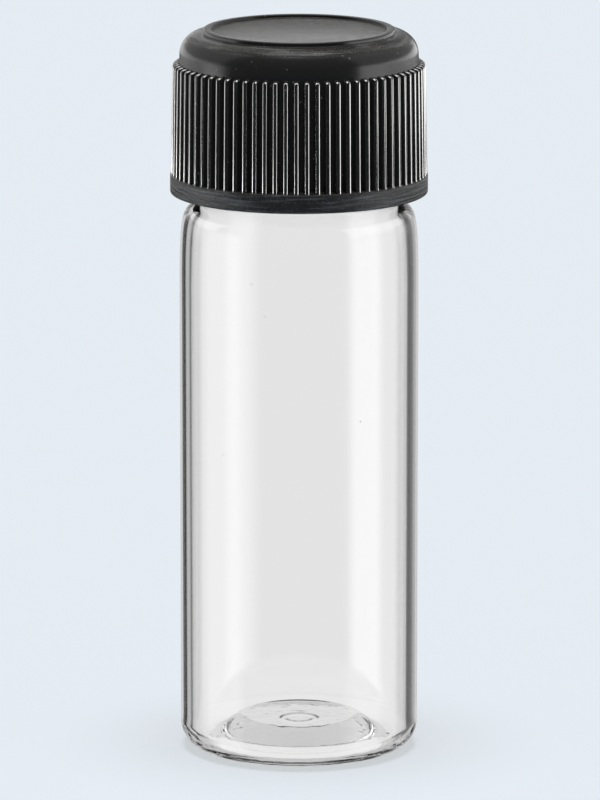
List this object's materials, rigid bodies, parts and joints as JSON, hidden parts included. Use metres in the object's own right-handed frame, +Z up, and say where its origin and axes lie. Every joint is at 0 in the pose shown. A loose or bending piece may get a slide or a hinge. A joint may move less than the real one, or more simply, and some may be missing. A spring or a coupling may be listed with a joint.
{
  "type": "glass sample vial",
  "caption": "Small clear glass sample vial with a screw thread and a black ribbed plastic cap that seals on a disc.",
  "frame": {"origin": "centre of the foot ring that the glass stands on", "axes": "+Z up along the vial's axis, -Y towards the front"},
  "size_m": [0.0162, 0.0162, 0.046],
  "materials": {
    "clear_glass": "clear, smooth tubular glass",
    "liner_foam": "soft off-white sealing disc",
    "black_moulding": "semi-gloss black moulded plastic"
  },
  "bodies": {
    "glass": {"vial": "clear_glass"},
    "liner": {"cap_liner": "liner_foam"},
    "cap": {"screw_cap": "black_moulding"}
  },
  "joints": [
    {"name": "cap_rise", "type": "slide", "parent": "glass", "child": "liner", "axis": [0, 0, 1], "range_m": [0, 0.01058]},
    {"name": "cap_turn", "type": "hinge", "parent": "liner", "child": "cap", "pos_m": [0, 0, 0.0444], "axis": [0, 0, 1], "range_deg": [0, 1800]}
  ],
  "couplings": [
    {"joint": "cap_turn", "follows": "cap_rise", "rad_per_m": 2968}
  ]
}
